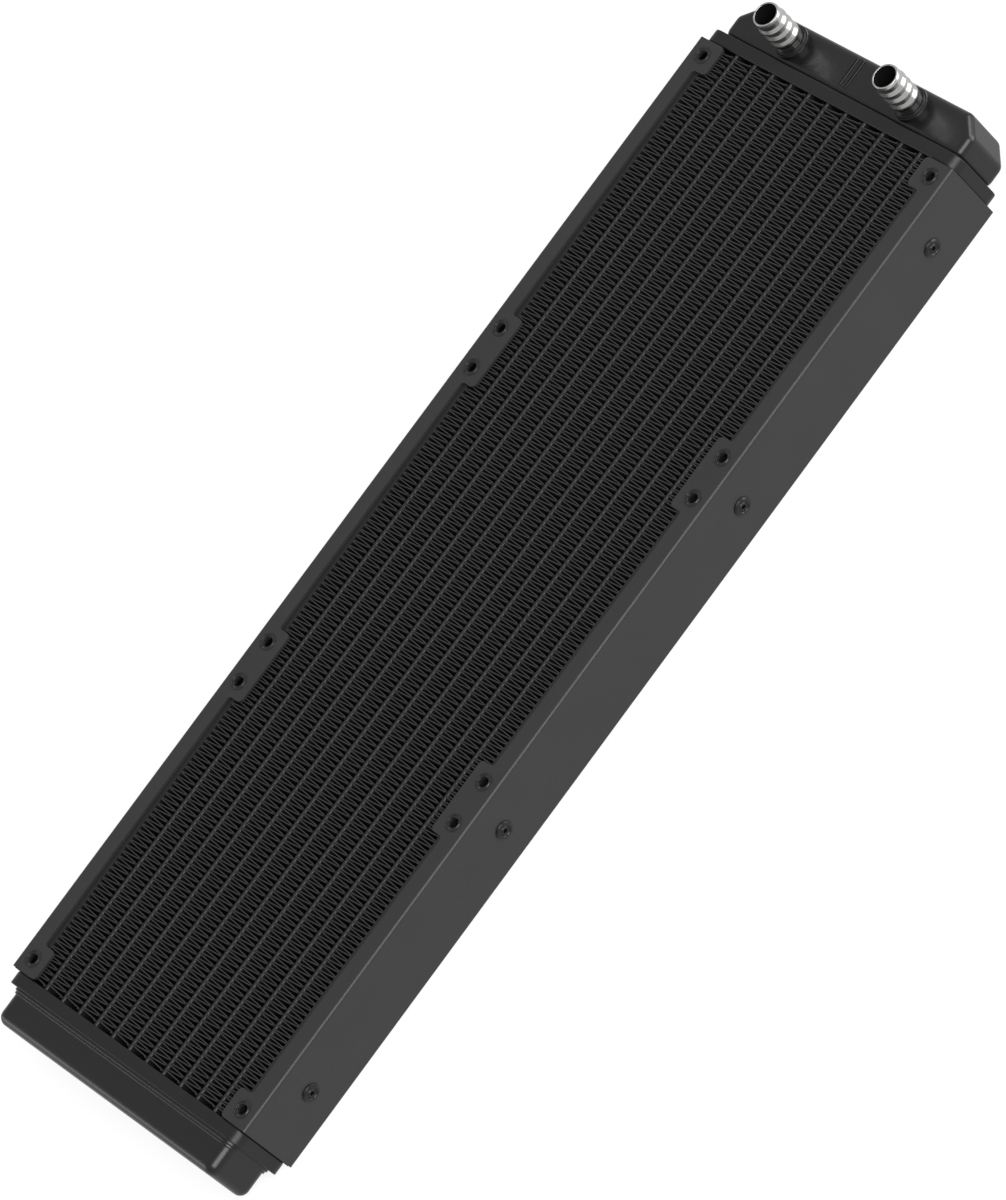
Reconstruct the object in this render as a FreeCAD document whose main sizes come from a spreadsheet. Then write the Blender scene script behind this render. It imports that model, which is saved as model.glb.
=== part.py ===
import FreeCAD, Part
import math
import os

import Sketcher

# Liquid cooling radiator for three 120 mm fans: a tube-and-fin core between two
# header plates, an inlet and outlet tank with two screw-in hose barbs at +X, a
# return tank at -X, and a folded sheet frame with the fan holes along each side.
# Origin: centre of the back, in the plane that the back flanges rest on.
# +X towards the hose barbs, +Y the left side, +Z out of the front.

SIZES = (
    # outside frame
    ("frame_depth", 27.0, "over the front and back flanges"),
    ("frame_width", 116.6, "over both side webs"),
    ("frame_half_length", 177.7, "each side frame, from its middle to an end"),
    ("sheet", 1.0, "frame sheet thickness"),
    ("bend_radius", 1.2, "outside radius of the folded edges"),
    ("flange_inner", 52.0, "narrow flange's inner edge, from the centre line"),
    ("tab_inner", 46.6, "screw tab's inner edge, from the centre line"),
    ("tab_margin", 5.4, "tab beyond its outermost hole, along the frame"),
    ("tab_corner", 1.7, "rounded free corner of a tab"),
    ("tab_root", 1.2, "rounded corner where a tab leaves the flange"),
    # fan screw holes
    ("fan_pitch", 120.0, "from one fan's centre to the next"),
    ("fan_spacing", 105.0, "screw pattern of a 120 mm fan"),
    ("fan_hole_radius", 1.7, "screw hole"),
    ("fan_sink_radius", 3.0, "countersink at the flange's face"),
    ("fan_sink_depth", 0.45, "countersink depth"),
    # blind rivets through the side webs
    ("rivet_near", 60.0, "rivets either side of the middle"),
    ("rivet_far", 156.5, "rivets near the frame's ends"),
    ("rivet_shank", 1.6, "shank radius"),
    ("rivet_head", 3.2, "head radius"),
    ("rivet_head_height", 1.0, "domed head above the web"),
    ("rivet_head_rim", 0.25, "straight rim of the head, above the web"),
    ("rivet_head_crown", 0.8, "height of the dome half way in, as a part of the whole"),
    ("rivet_crown_shift", 0.35, "that point, outwards from half way"),
    ("rivet_bore", 0.9, "hole left by the mandrel"),
    ("rivet_bore_depth", 0.4, "bottom of that hole, below the web's face"),
    ("rivet_bulb", 2.3, "upset end behind the rail's wall"),
    ("rivet_bulb_length", 1.9, "length of the upset end"),
    ("rivet_bulb_taper", 0.8, "tapered part of the upset end"),
    ("rivet_drill_outside", 1.0, "drill's start, outside the web"),
    ("rivet_drill_length", 4.0, "drill's travel, through the web and the rail's wall"),
    # core
    ("core_setback", 1.0, "fins' faces below the flange's face"),
    ("fin_half_length", 177.0, "a fin row, from its middle to an end"),
    ("fin_pitch", 2.0, "one full wave of a fin"),
    ("fin_sheet", 0.2, "fin thickness"),
    ("fin_crest", 0.5, "flat of a wave that is brazed to a tube"),
    ("tube_count", 11, "flat tubes"),
    ("tube_pitch", 8.46, "from one tube to the next"),
    ("tube_thickness", 1.4, "flat tube, across"),
    ("tube_depth", 24.0, "flat tube, front to back"),
    ("tube_wall", 0.3, "flat tube's wall"),
    ("tube_nose_flat", 0.02, "half of the flat left on a tube's rounded nose"),
    ("tube_half_length", 180.2, "tube, from its middle to an open end"),
    ("rail_wall", 0.7, "side rail's wall"),
    # header plates
    ("header_start", 177.9, "header's face next to the core"),
    ("header_end", 182.3, "header's open edge"),
    ("header_half_width", 57.2, "header, from the centre line"),
    ("header_setback", 0.5, "header's front below the flange's face"),
    ("header_corner", 4.5, "header's corner radius"),
    ("header_plate", 1.5, "plate that the tubes pass through"),
    ("header_rim", 0.8, "rim round the plate"),
    # tanks
    ("tank_wall", 1.2, "tank sheet thickness"),
    ("foot_start", 181.1, "tank's foot inside the header's rim"),
    ("port_tank_end", 196.7, "inlet and outlet tank's outer face"),
    ("port_tank_half_width", 54.2, "inlet and outlet tank, from the centre line"),
    ("port_tank_setback", 3.0, "inlet and outlet tank's front below the flange's face"),
    ("port_tank_chamfer", 6.8, "cut corners of the inlet and outlet tank"),
    ("port_tank_fillet", 2.2, "rounded edges of the inlet and outlet tank"),
    ("rib_width", 3.5, "stiffening rib across the tank's front"),
    ("rib_height", 0.35, "rib above the tank's front"),
    ("rib_root", 0.2, "rib's root, sunk into the tank's wall"),
    ("rib_offset", 0.6, "rib's middle, from the centre line"),
    ("rib_start", 184.9, "rib's end next to the header"),
    ("rib_end", 195.3, "rib's outer end"),
    ("divider_offset", 4.23, "divider between two tubes, from the centre line"),
    ("divider_thickness", 1.2, "divider plate"),
    ("return_tank_end", 193.9, "return tank's outer face"),
    ("return_tank_half_width", 54.4, "return tank, from the centre line"),
    ("return_tank_setback", 2.95, "return tank's front below the flange's face"),
    ("return_tank_fillet", 3.5, "rounded edges of the return tank"),
    ("tank_face_relief", 0.1, "an outer face's fillet, smaller than the side edges' by this"),
    ("step_low_end", 183.2, "first step round the return tank's root"),
    ("step_low_height", 1.0, "first step, out from the tank's wall"),
    ("step_high_end", 184.1, "second step round the return tank's root"),
    ("step_high_height", 0.5, "second step, out from the tank's wall"),
    # ports and fittings, heights measured up from the tank's front
    ("port_offset", 27.4, "port axis, from the centre line"),
    ("port_along", 189.7, "port axis, from the middle of the radiator"),
    ("boss_radius", 5.8, "port boss outside the tank"),
    ("boss_height", 1.72, "port boss above the tank"),
    ("boss_spigot", 5.6, "port boss where it passes through the wall"),
    ("boss_depth", 2.5, "port boss below the tank's face"),
    ("thread_bore", 4.85, "port thread, as a plain bore"),
    ("seat_radius", 5.5, "seat of the seal ring"),
    ("seat_height", 1.27, "seat floor above the tank's face"),
    ("seal_ring_radius", 5.0, "seal ring, to the middle of its cord"),
    ("seal_cord_radius", 0.4, "seal ring's cord"),
    ("seal_middle", 1.69, "seal ring's middle plane"),
    ("thread_radius", 4.8, "fitting's thread, as a plain cylinder"),
    ("thread_end", -2.3, "lower end of the fitting"),
    ("relief_radius", 4.4, "groove under the flange that holds the seal ring"),
    ("relief_start", 1.0, "lower end of that groove"),
    ("flange_radius", 5.4, "fitting's flange"),
    ("flange_low", 2.12, "flange's underside"),
    ("flange_high", 2.66, "flange's top"),
    ("neck_radius", 4.8, "black neck above the flange"),
    ("neck_top", 5.55, "neck's top"),
    ("tail_radius", 3.9, "barb's tail, pressed into the neck"),
    ("tail_bore", 3.1, "bore of the tail"),
    ("bore_taper", 0.6, "cone from the tail's bore to the barb's"),
    ("barb_bore", 3.75, "bore of the barb"),
    ("barb_tip", 17.9, "barb's tip"),
    ("tip_radius", 4.25, "barb at its tip"),
    ("tip_taper", 0.9, "cone that leads the hose on at the tip"),
    ("crest_radius", 5.0, "crests that grip the hose"),
    ("valley_radius", 4.55, "barb between its crests"),
    ("crest_land", 0.5, "cylindrical land on a crest"),
    ("crest_shoulder", 0.3, "steep shoulder below a crest"),
    ("crest_slope", 1.5, "gentle slope above a crest"),
    ("crest_first", 6.2, "first crest's middle"),
    ("crest_pitch", 3.6, "from one crest to the next"),
)

doc = FreeCAD.newDocument("radiator")
sheet = doc.addObject("Spreadsheet::Sheet", "Sizes")
for row, (alias, number, note) in enumerate(SIZES, start=1):
    sheet.set(f"A{row}", note)
    sheet.set(f"B{row}", str(number))
    sheet.setAlias(f"B{row}", alias)
doc.recompute()

SIDES = (("left", 1), ("right", -1))
parts = []


def size(alias):
    """A driving dimension, for the shapes that code works out point by point."""
    return float(getattr(sheet, alias))


def with_sheet(expression):
    """The expression with each alias turned into a reference to its cell."""
    words = []
    word = ""
    for letter in expression + " ":
        if letter.isalnum() or letter == "_":
            word += letter
            continue
        if any(word == alias for alias, _, _ in SIZES):
            word = "Sizes." + word
        words.append(word + letter)
        word = ""
    return "".join(words).strip()


def bind(thing, target, expression):
    """Bind a property, or one of its members, to the sheet."""
    thing.setExpression(target, with_sheet(expression))


def keep(thing):
    """Remember a finished sub-part, to be checked and written at the end."""
    parts.append(thing)
    return thing


def new_body(label):
    body = doc.addObject("PartDesign::Body", label)
    body.Label = label
    return keep(body)


def place(thing, along="0", across="0", up="0"):
    bind(thing, "Placement.Base.x", along)
    bind(thing, "Placement.Base.y", across)
    bind(thing, "Placement.Base.z", up)


def new_sketch(body, plane, offset):
    """A sketch on one of the body's own planes, moved along that plane's normal."""
    sketch = body.newObject("Sketcher::SketchObject", f"{body.Name}_sketch")
    role = next(f for f in body.Origin.OriginFeatures if f.Role == f"{plane}_Plane")
    sketch.AttachmentSupport = [(role, "")]
    sketch.MapMode = "FlatFace"
    bind(sketch, "AttachmentOffset.Base.z", offset)
    doc.recompute()
    return sketch


def pin_point(sketch, edge, end, across, up):
    """Tie one end of an edge, or a circle's centre, to two expressions."""
    for kind, expression in (("DistanceX", across), ("DistanceY", up)):
        start = float(sketch.evalExpression(with_sheet(expression)))
        index = sketch.addConstraint(Sketcher.Constraint(kind, -1, 1, edge, end, start))
        bind(sketch, f"Constraints[{index}]", expression)


def outline(sketch, corners):
    """Closed outline of straight edges through corners given as expressions."""
    numbers = [
        FreeCAD.Vector(*(float(sketch.evalExpression(with_sheet(e))) for e in corner), 0)
        for corner in corners
    ]
    first = sketch.GeometryCount
    count = len(numbers)
    for i in range(count):
        sketch.addGeometry(Part.LineSegment(numbers[i], numbers[(i + 1) % count]), False)
    for i in range(count):
        following = first + (i + 1) % count
        sketch.addConstraint(Sketcher.Constraint("Coincident", first + i, 2, following, 1))
    for i, (across, up) in enumerate(corners):
        pin_point(sketch, first + i, 1, across, up)


def rectangle(sketch, low_x, low_y, high_x, high_y):
    outline(sketch, ((low_x, low_y), (high_x, low_y), (high_x, high_y), (low_x, high_y)))


def rounded(sketch, half_width, half_height, radius):
    """Rectangle about the sketch's origin with a quarter circle at each corner."""
    wide, high, arc = (
        float(sketch.evalExpression(with_sheet(e))) for e in (half_width, half_height, radius))
    short_x, short_y = f"{half_width} - ({radius})", f"{half_height} - ({radius})"
    sides = (
        ((f"-({short_x})", f"-({half_height})"), (short_x, f"-({half_height})")),
        ((half_width, f"-({short_y})"), (half_width, short_y)),
        ((short_x, half_height), (f"-({short_x})", half_height)),
        ((f"-({half_width})", short_y), (f"-({half_width})", f"-({short_y})")),
    )
    for side in sides:
        ends = [
            FreeCAD.Vector(*(float(sketch.evalExpression(with_sheet(e))) for e in end), 0)
            for end in side
        ]
        edge = sketch.addGeometry(Part.LineSegment(*ends), False)
        for end in (1, 2):
            pin_point(sketch, edge, end, *side[end - 1])
    upwards = FreeCAD.Vector(0, 0, 1)
    for corner, (right, top) in enumerate(((1, -1), (1, 1), (-1, 1), (-1, -1))):
        centre = FreeCAD.Vector(right * (wide - arc), top * (high - arc), 0)
        begin = (corner - 1) * math.pi / 2
        bow = Part.ArcOfCircle(Part.Circle(centre, upwards, arc), begin, begin + math.pi / 2)
        edge = sketch.addGeometry(bow, False)
        sketch.addConstraint(Sketcher.Constraint("Coincident", edge, 1, corner, 2))
        sketch.addConstraint(Sketcher.Constraint("Coincident", edge, 2, (corner + 1) % 4, 1))
        index = sketch.addConstraint(Sketcher.Constraint("Radius", edge, arc))
        bind(sketch, f"Constraints[{index}]", radius)


def circle(sketch, across, up, radius):
    centre = [float(sketch.evalExpression(with_sheet(e))) for e in (across, up)]
    start = float(sketch.evalExpression(with_sheet(radius)))
    shape = Part.Circle(FreeCAD.Vector(*centre, 0), FreeCAD.Vector(0, 0, 1), start)
    edge = sketch.addGeometry(shape, False)
    pin_point(sketch, edge, 3, across, up)
    index = sketch.addConstraint(Sketcher.Constraint("Radius", edge, start))
    bind(sketch, f"Constraints[{index}]", radius)


def add(body, sketch, length):
    pad = body.newObject("PartDesign::Pad", f"{body.Name}_pad")
    pad.Profile = sketch
    bind(pad, "Length", length)
    doc.recompute()


def cut(body, sketch, length):
    """Cut from the sketch's plane against its normal, and test that it cuts."""
    before = body.Shape.Volume
    pocket = body.newObject("PartDesign::Pocket", f"{body.Name}_pocket")
    pocket.Profile = sketch
    bind(pocket, "Length", length)
    doc.recompute()
    if body.Shape.Volume > before - 1e-3:
        raise ValueError(f"a pocket in {body.Name} cuts nothing")


def turn(body, sketch):
    """Solid of revolution about the sketch's own vertical axis."""
    revolution = body.newObject("PartDesign::Revolution", f"{body.Name}_revolution")
    revolution.Profile = sketch
    revolution.ReferenceAxis = (sketch, ["V_Axis"])
    revolution.Angle = 360
    doc.recompute()


def edges(body, test):
    """Names of the body's edges whose middle and direction pass the test."""
    names = []
    for i, edge in enumerate(body.Shape.Edges, start=1):
        middle = edge.valueAt((edge.FirstParameter + edge.LastParameter) / 2)
        ends = edge.valueAt(edge.LastParameter) - edge.valueAt(edge.FirstParameter)
        if test(middle, ends, edge):
            names.append(f"Edge{i}")
    return names


def round_off(body, radius, test):
    base = (body.Tip, edges(body, test))
    fillet = body.newObject("PartDesign::Fillet", f"{body.Name}_fillet")
    fillet.Base = base
    bind(fillet, "Radius", radius)
    doc.recompute()
    if "Invalid" in fillet.State:
        raise ValueError(f"a fillet of {radius} in {body.Name} fails on {base[1]}")


def near(a, b):
    return abs(a - b) < 1e-4


def is_along(ends, axis):
    """True for an edge whose ends differ only along one axis, 0, 1 or 2."""
    return all(near(ends[i], 0) for i in range(3) if i != axis) and not near(ends[axis], 0)


def make_side_frame(side, sign):
    """Folded channel that wraps a long side, with screw tabs on both flanges."""
    body = new_body(f"side_frame_{side}")
    web = f"({sign} * frame_width / 2)"
    inside = f"({sign} * (frame_width / 2 - sheet))"
    tab = f"({sign} * tab_inner)"
    profile = new_sketch(body, "YZ", "-frame_half_length")
    outline(profile, (
        (web, "0"), (web, "frame_depth"), (tab, "frame_depth"),
        (tab, "frame_depth - sheet"), (inside, "frame_depth - sheet"),
        (inside, "sheet"), (tab, "sheet"), (tab, "0"),
    ))
    add(body, profile, "2 * frame_half_length")
    half_width = size("frame_width") / 2
    round_off(body, "bend_radius", lambda middle, ends, edge: (
        is_along(ends, 0) and near(abs(middle.y), half_width)))
    windows = new_sketch(body, "XY", "frame_depth + 1")
    tab_half = "(fan_pitch - fan_spacing) / 2 + tab_margin"
    beyond = f"({sign} * (tab_inner - 1))"
    narrow = f"({sign} * flange_inner)"
    far_end = "fan_pitch + fan_spacing / 2 - tab_margin"
    for low, high in (
        (f"-({far_end})", f"-fan_pitch / 2 - ({tab_half})"),
        (f"-fan_pitch / 2 + ({tab_half})", f"fan_pitch / 2 - ({tab_half})"),
        (f"fan_pitch / 2 + ({tab_half})", far_end),
    ):
        rectangle(windows, low, beyond, high, narrow)
    cut(body, windows, "frame_depth + 2")
    for radius, reach in (("tab_corner", "tab_inner"), ("tab_root", "flange_inner")):
        at = size(reach)
        round_off(body, radius, lambda middle, ends, edge: (
            is_along(ends, 2) and near(abs(middle.y), at)))
    holes = new_sketch(body, "XY", "frame_depth + 1")
    for fan in (-1, 0, 1):
        for end in (-1, 1):
            circle(holes, f"{fan} * fan_pitch + {end} * fan_spacing / 2",
                   f"{sign} * fan_spacing / 2", "fan_hole_radius")
    cut(body, holes, "frame_depth + 2")
    sink_holes(body, sign)
    drill_for_rivets(body, sign)


def sink_holes(body, sign):
    """Countersink the screw holes where they meet the outer faces of the flanges."""
    before = body.Shape.Volume
    for radius_low, radius_high, up in (
        ("fan_sink_radius", "fan_hole_radius", "0"),
        ("fan_hole_radius", "fan_sink_radius", "frame_depth - fan_sink_depth"),
    ):
        for fan in (-1, 0, 1):
            for end in (-1, 1):
                cone = body.newObject("PartDesign::SubtractiveCone", f"{body.Name}_sink")
                bind(cone, "Radius1", radius_low)
                bind(cone, "Radius2", radius_high)
                bind(cone, "Height", "fan_sink_depth")
                place(cone, f"{fan} * fan_pitch + {end} * fan_spacing / 2",
                      f"{sign} * fan_spacing / 2", up)
    doc.recompute()
    if body.Shape.Volume > before - 1e-3:
        raise ValueError(f"the countersinks in {body.Name} cut nothing")


def drill_for_rivets(body, sign):
    """Holes through one side wall only: the cut runs towards +Y."""
    outside = "frame_width / 2 + rivet_drill_outside"
    start = f"-({outside} - rivet_drill_length)" if sign > 0 else outside
    holes = new_sketch(body, "XZ", start)
    for along in ("-rivet_far", "-rivet_near", "rivet_near", "rivet_far"):
        circle(holes, along, "frame_depth / 2", "rivet_shank")
    cut(body, holes, "rivet_drill_length")


def make_side_rail(side, sign):
    """Closed box rail, brazed along the outermost fin row, inside the side frame."""
    body = new_body(f"side_rail_{side}")
    inner = f"({sign} * ((tube_count + 1) / 2 * tube_pitch - tube_thickness / 2))"
    outer = f"({sign} * (frame_width / 2 - sheet))"
    low, high = "core_setback", "frame_depth - core_setback"
    profile = new_sketch(body, "YZ", "-header_start")
    rectangle(profile, inner, low, outer, high)
    rectangle(profile, f"{inner} + {sign} * rail_wall", f"{low} + rail_wall",
              f"{outer} - {sign} * rail_wall", f"{high} - rail_wall")
    add(body, profile, "2 * header_start")
    holes = new_sketch(body, "XY", "frame_depth + 1")
    for fan in (-1, 0, 1):
        for end in (-1, 1):
            circle(holes, f"{fan} * fan_pitch + {end} * fan_spacing / 2",
                   f"{sign} * fan_spacing / 2", "fan_hole_radius")
    cut(body, holes, "frame_depth + 2")
    drill_for_rivets(body, sign)


def make_rivets(side, sign):
    """Four blind rivets: domed heads with the mandrel's hole, upset behind the rail."""
    head, height = size("rivet_head"), size("rivet_head_height")
    shank, bulb, bore = size("rivet_shank"), size("rivet_bulb"), size("rivet_bore")
    grip = size("sheet") + size("rail_wall")
    tail = grip + size("rivet_bulb_length")
    rim, floor = size("rivet_head_rim"), -size("rivet_bore_depth")
    crown = (bore + head) / 2 + size("rivet_crown_shift")
    head_arc = Part.Arc(
        FreeCAD.Vector(head, rim, 0),
        FreeCAD.Vector(crown, height * size("rivet_head_crown"), 0),
        FreeCAD.Vector(bore, height, 0)).toShape()
    below = [(bore, height), (bore, floor), (0, floor), (0, -tail), (shank, -tail),
             (bulb, -tail + size("rivet_bulb_taper")), (bulb, -grip), (shank, -grip),
             (shank, 0), (head, 0), (head, rim)]
    lines = Part.makePolygon([FreeCAD.Vector(r, h, 0) for r, h in below])
    profile = Part.Face(Part.Wire([*lines.Edges, head_arc]))
    rivet = profile.revolve(FreeCAD.Vector(0, 0, 0), FreeCAD.Vector(0, 1, 0), 360)
    if sign < 0:
        rivet.rotate(FreeCAD.Vector(0, 0, 0), FreeCAD.Vector(0, 0, 1), 180)
    copies = []
    for along in ("rivet_near", "rivet_far"):
        for end in (-1, 1):
            one = rivet.copy()
            one.translate(FreeCAD.Vector(end * size(along), 0, 0))
            copies.append(one)
    group = keep(doc.addObject("Part::Feature", f"side_rivets_{side}"))
    group.Label = f"side_rivets_{side}"
    group.Shape = Part.makeCompound(copies)
    place(group, across=f"{sign} * frame_width / 2", up="frame_depth / 2")


def make_tube(number):
    """Flat tube with rounded noses, open at both ends."""
    body = new_body(f"flat_tube_{number:02d}")
    section = new_sketch(body, "YZ", "-tube_half_length")
    for wall in ("0", "tube_wall"):
        rectangle(section, f"-tube_thickness / 2 + {wall}", f"-tube_depth / 2 + {wall}",
                  f"tube_thickness / 2 - {wall}", f"tube_depth / 2 - {wall}")
    add(body, section, "2 * tube_half_length")
    half = size("tube_thickness") / 2
    round_off(body, "tube_thickness / 2 - tube_nose_flat", lambda middle, ends, edge: (
        is_along(ends, 0) and near(abs(middle.y), half)))
    place(body, across=f"({number} - (tube_count + 1) / 2) * tube_pitch", up="frame_depth / 2")


def fin_wave():
    """One fin row: a sheet folded into flat-topped waves that fill the gap of two tubes."""
    pitch, sheet_gauge, crest = size("fin_pitch"), size("fin_sheet"), size("fin_crest")
    half_length = size("fin_half_length")
    half_gap = (size("tube_pitch") - size("tube_thickness")) / 2
    depth = size("frame_depth") - 2 * size("core_setback")
    inner_crest = crest - 2 * sheet_gauge
    upper, lower = [], []
    folds = round(4 * half_length / pitch)
    for fold in range(folds):
        middle = -half_length + pitch / 4 + fold * pitch / 2
        top = 1 if fold % 2 else -1
        wide = [middle - crest / 2, middle + crest / 2]
        tight = [middle - inner_crest / 2, middle + inner_crest / 2]
        outer = [(x, top * half_gap) for x in wide]
        inner = [(x, top * (half_gap - sheet_gauge)) for x in tight]
        upper += outer if top > 0 else inner
        lower += inner if top > 0 else outer
    loop = upper + lower[::-1]
    points = [FreeCAD.Vector(x, y, -depth / 2) for x, y in loop + loop[:1]]
    return Part.Face(Part.makePolygon(points)).extrude(FreeCAD.Vector(0, 0, depth))


def make_fin_rows():
    wave = fin_wave()
    for number in range(1, int(size("tube_count")) + 2):
        row = keep(doc.addObject("Part::Feature", f"fin_row_{number:02d}"))
        row.Label = f"fin_row_{number:02d}"
        row.Shape = wave
        place(row, across=f"({number} - (tube_count + 2) / 2) * tube_pitch", up="frame_depth / 2")


def make_header(end, heading):
    """Pressed tray: the tubes pass through its plate and its rim takes the tank's foot."""
    body = new_body(f"header_{end}")
    half_depth = "(frame_depth / 2 - header_setback)"
    section = new_sketch(body, "YZ", "header_start")
    rounded(section, "header_half_width", half_depth, "header_corner")
    add(body, section, "header_end - header_start")
    tray = new_sketch(body, "YZ", "header_end")
    rounded(tray, "header_half_width - header_rim", f"{half_depth} - header_rim",
            "header_corner - header_rim")
    cut(body, tray, "header_end - header_start - header_plate")
    slots = new_sketch(body, "YZ", "header_start + header_plate")
    for number in range(1, int(size("tube_count")) + 1):
        middle = f"({number} - (tube_count + 1) / 2) * tube_pitch"
        rectangle(slots, f"{middle} - tube_thickness / 2", "-tube_depth / 2",
                  f"{middle} + tube_thickness / 2", "tube_depth / 2")
    cut(body, slots, "header_plate")
    place(body, up="frame_depth / 2")
    body.Placement.Rotation = FreeCAD.Rotation(FreeCAD.Vector(0, 0, 1), heading)


def add_foot(body):
    """Foot that closes the header's tray round the tank."""
    foot = new_sketch(body, "YZ", "foot_start")
    rounded(foot, "header_half_width - header_rim",
            "frame_depth / 2 - header_setback - header_rim", "header_corner - header_rim")
    add(body, foot, "header_end - foot_start")


def make_port_tank():
    """Inlet and outlet tank: cut corners, a stiffening rib and a hole for each port."""
    body = new_body("port_tank")
    half_depth = "(frame_depth / 2 - port_tank_setback)"
    plan = new_sketch(body, "XY", f"-{half_depth}")
    square = "(port_tank_end - port_tank_chamfer)"
    short = "(port_tank_half_width - port_tank_chamfer)"
    outline(plan, (
        ("foot_start", "-port_tank_half_width"), (square, "-port_tank_half_width"),
        ("port_tank_end", f"-{short}"), ("port_tank_end", short),
        (square, "port_tank_half_width"), ("foot_start", "port_tank_half_width"),
    ))
    add(body, plan, f"2 * {half_depth}")
    start = size("foot_start")
    depth = size("frame_depth") / 2 - size("port_tank_setback")
    round_off(body, "port_tank_fillet", lambda middle, ends, edge: (
        not near(middle.x, start) and (near(abs(middle.z), depth) or is_along(ends, 2))))
    add_foot(body)
    cavity = new_sketch(body, "XY", f"{half_depth} - tank_wall")
    inset = "tank_wall * tan(22.5 deg)"
    outline(cavity, (
        ("foot_start - 1", "-port_tank_half_width + tank_wall"),
        (f"{square} - {inset}", "-port_tank_half_width + tank_wall"),
        ("port_tank_end - tank_wall", f"-{short} + {inset}"),
        ("port_tank_end - tank_wall", f"{short} - {inset}"),
        (f"{square} - {inset}", "port_tank_half_width - tank_wall"),
        ("foot_start - 1", "port_tank_half_width - tank_wall"),
    ))
    cut(body, cavity, f"2 * ({half_depth} - tank_wall)")
    rib = new_sketch(body, "XY", f"{half_depth} - rib_root")
    rectangle(rib, "rib_start", "rib_offset - rib_width / 2",
              "rib_end", "rib_offset + rib_width / 2")
    add(body, rib, "rib_height + rib_root")
    ports = new_sketch(body, "XY", f"{half_depth} + 1")
    for _, sign in SIDES:
        circle(ports, "port_along", f"{sign} * port_offset", "boss_spigot")
    cut(body, ports, "1 + tank_wall")
    place(body, up="frame_depth / 2")


def make_divider():
    """Plate across the tray and the tank that sends the flow down one half of the tubes."""
    body = new_body("flow_divider")
    tray_low = "header_setback + header_rim"
    tank_low = "port_tank_setback + tank_wall"
    tray_end = "foot_start"
    plate = new_sketch(body, "XZ", "-divider_offset - divider_thickness / 2")
    outline(plate, (
        ("header_start + header_plate", tray_low), (tray_end, tray_low),
        (tray_end, tank_low), ("port_tank_end - tank_wall", tank_low),
        ("port_tank_end - tank_wall", f"frame_depth - {tank_low.replace('+', '-')}"),
        (tray_end, f"frame_depth - {tank_low.replace('+', '-')}"),
        (tray_end, f"frame_depth - {tray_low.replace('+', '-')}"),
        ("header_start + header_plate", f"frame_depth - {tray_low.replace('+', '-')}"),
    ))
    add(body, plate, "divider_thickness")


def make_return_tank():
    """Return tank: rounded box with two low steps round its root."""
    body = new_body("return_tank")
    half_depth = "(frame_depth / 2 - return_tank_setback)"
    box = new_sketch(body, "YZ", "foot_start")
    rounded(box, "return_tank_half_width", half_depth, "return_tank_fillet")
    add(body, box, "return_tank_end - foot_start")
    outer = size("return_tank_end")
    round_off(body, "return_tank_fillet - tank_face_relief",
              lambda middle, ends, edge: near(middle.x, outer))
    for step_end, step in (
        ("step_low_end", "step_low_height"), ("step_high_end", "step_high_height"),
    ):
        band = new_sketch(body, "YZ", "foot_start")
        rounded(band, f"return_tank_half_width + {step}", f"{half_depth} + {step}",
                f"return_tank_fillet + {step}")
        add(body, band, f"{step_end} - foot_start")
    add_foot(body)
    cavity = new_sketch(body, "YZ", "return_tank_end - tank_wall")
    rounded(cavity, "return_tank_half_width - tank_wall", f"{half_depth} - tank_wall",
            "return_tank_fillet - tank_wall")
    cut(body, cavity, "return_tank_end - tank_wall - foot_start")
    inside = outer - size("tank_wall")
    round_off(body, "return_tank_fillet - tank_wall - tank_face_relief",
              lambda middle, ends, edge: near(middle.x, inside))
    place(body, up="frame_depth / 2")
    body.Placement.Rotation = FreeCAD.Rotation(FreeCAD.Vector(0, 0, 1), 180)


def turned_part(label, sign, corners):
    """A piece turned about a port's axis, from its half section: radius, height."""
    body = new_body(label)
    section = new_sketch(body, "XZ", "0")
    outline(section, corners)
    turn(body, section)
    place(body, along="port_along", across=f"{sign} * port_offset",
          up="frame_depth - port_tank_setback")


def make_port_boss(side, sign):
    """Threaded boss, brazed into the tank's wall, with the seal ring's seat on top."""
    turned_part(f"port_boss_{side}", sign, (
        ("thread_bore", "-boss_depth"), ("boss_spigot", "-boss_depth"), ("boss_spigot", "0"),
        ("boss_radius", "0"), ("boss_radius", "boss_height"), ("seat_radius", "boss_height"),
        ("seat_radius", "seat_height"), ("thread_bore", "seat_height"),
    ))


def make_seal_ring(side, sign):
    """Rubber ring between the boss and the fitting's flange."""
    label = f"seal_ring_{side}"
    ring = keep(doc.addObject("Part::Torus", label))
    ring.Label = label
    bind(ring, "Radius1", "seal_ring_radius")
    bind(ring, "Radius2", "seal_cord_radius")
    place(ring, "port_along", f"{sign} * port_offset",
          "frame_depth - port_tank_setback + seal_middle")


def make_fitting_neck(side, sign):
    """Black threaded neck that screws into the boss and holds the barb."""
    turned_part(f"fitting_neck_{side}", sign, (
        ("tail_radius", "thread_end"), ("thread_radius", "thread_end"),
        ("thread_radius", "relief_start"), ("relief_radius", "relief_start"),
        ("relief_radius", "flange_low"), ("flange_radius", "flange_low"),
        ("flange_radius", "flange_high"), ("neck_radius", "flange_high"),
        ("neck_radius", "neck_top"), ("tail_radius", "neck_top"),
    ))


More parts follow.
